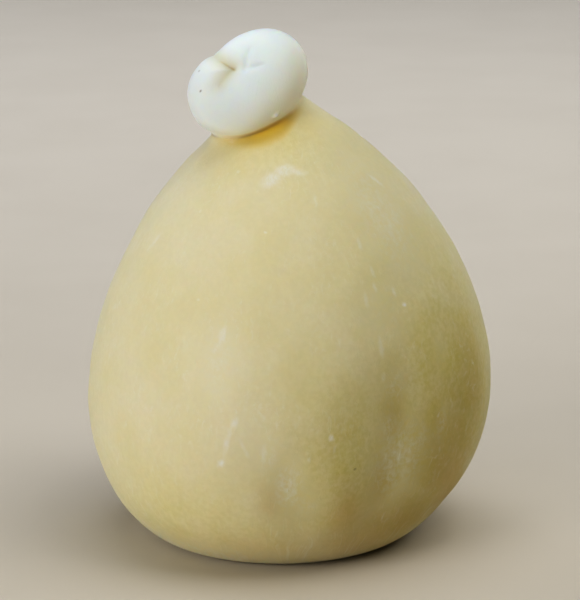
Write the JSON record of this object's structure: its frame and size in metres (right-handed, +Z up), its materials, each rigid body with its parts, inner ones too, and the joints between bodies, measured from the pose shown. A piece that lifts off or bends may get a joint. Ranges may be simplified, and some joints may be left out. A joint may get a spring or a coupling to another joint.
{
  "type": "caciocavallo cheese",
  "caption": "Whole pear-shaped stretched-curd cheese with a pale folded head leaning over its crown, standing on its flat base.",
  "frame": {"origin": "centre of the flat base that the cheese stands on", "axes": "+Z up through the crown, -Y towards the front, where the folds of the head show, and +X to the right as seen from the front"},
  "size_m": [0.1495, 0.1487, 0.1907],
  "materials": {
    "rind": null
  },
  "bodies": {
    "root": {"cheese": "rind"}
  },
  "joints": []
}
